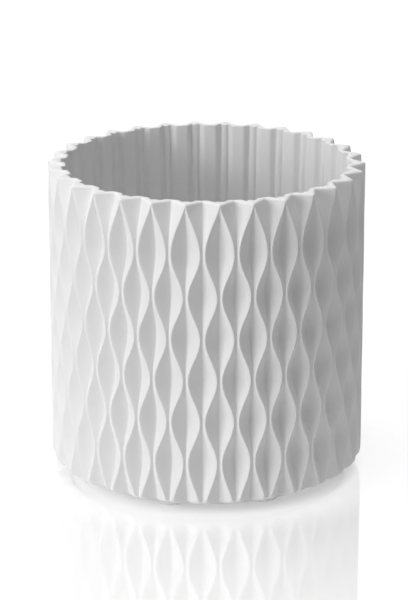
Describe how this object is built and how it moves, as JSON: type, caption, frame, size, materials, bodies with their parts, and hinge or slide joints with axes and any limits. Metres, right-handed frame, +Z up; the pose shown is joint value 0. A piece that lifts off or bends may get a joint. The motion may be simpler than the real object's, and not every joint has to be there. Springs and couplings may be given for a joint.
{
  "type": "rotating desk organizer",
  "caption": "Round open pen cup with a moulded lens relief that turns on a low ball-bearing base disc with silicone feet.",
  "frame": {"origin": "on the turning axis, at the desk surface that the feet stand on", "axes": "+Z up along the turning axis, the pictured front faces -Y, +X to the right"},
  "size_m": [0.11, 0.11, 0.1105],
  "materials": {
    "cup": "fine matte off-white moulded plastic",
    "base": "matte off-white moulded plastic",
    "race": "turned steel",
    "ball": "polished bearing steel",
    "cage": "natural nylon",
    "bush": "smooth acetal",
    "screw": "bright zinc plated steel",
    "foot": "milky clear silicone"
  },
  "bodies": {
    "base": {"base_disc": "base", "lower_race": "race", "pivot_bush": "bush", "foot_01": "foot", "foot_02": "foot", "foot_03": "foot", "foot_04": "foot", "foot_05": "foot", "foot_06": "foot", "foot_07": "foot", "foot_08": "foot"},
    "rotor": {"cup_body": "cup", "upper_race": "race", "pivot_washer": "screw", "pivot_screw": "screw"},
    "ball_carrier": {"ball_cage": "cage", "ball_01": "ball", "ball_02": "ball", "ball_03": "ball", "ball_04": "ball", "ball_05": "ball", "ball_06": "ball", "ball_07": "ball", "ball_08": "ball", "ball_09": "ball", "ball_10": "ball", "ball_11": "ball", "ball_12": "ball"}
  },
  "joints": [
    {"name": "cup_spin", "type": "hinge", "parent": "base", "child": "rotor", "pos_m": [0, 0, 0.0088], "axis": [0, 0, 1], "continuous": true},
    {"name": "cage_spin", "type": "hinge", "parent": "base", "child": "ball_carrier", "pos_m": [0, 0, 0.0088], "axis": [0, 0, 1], "continuous": true}
  ],
  "couplings": [
    {"joint": "cage_spin", "follows": "cup_spin", "ratio": 0.5}
  ]
}
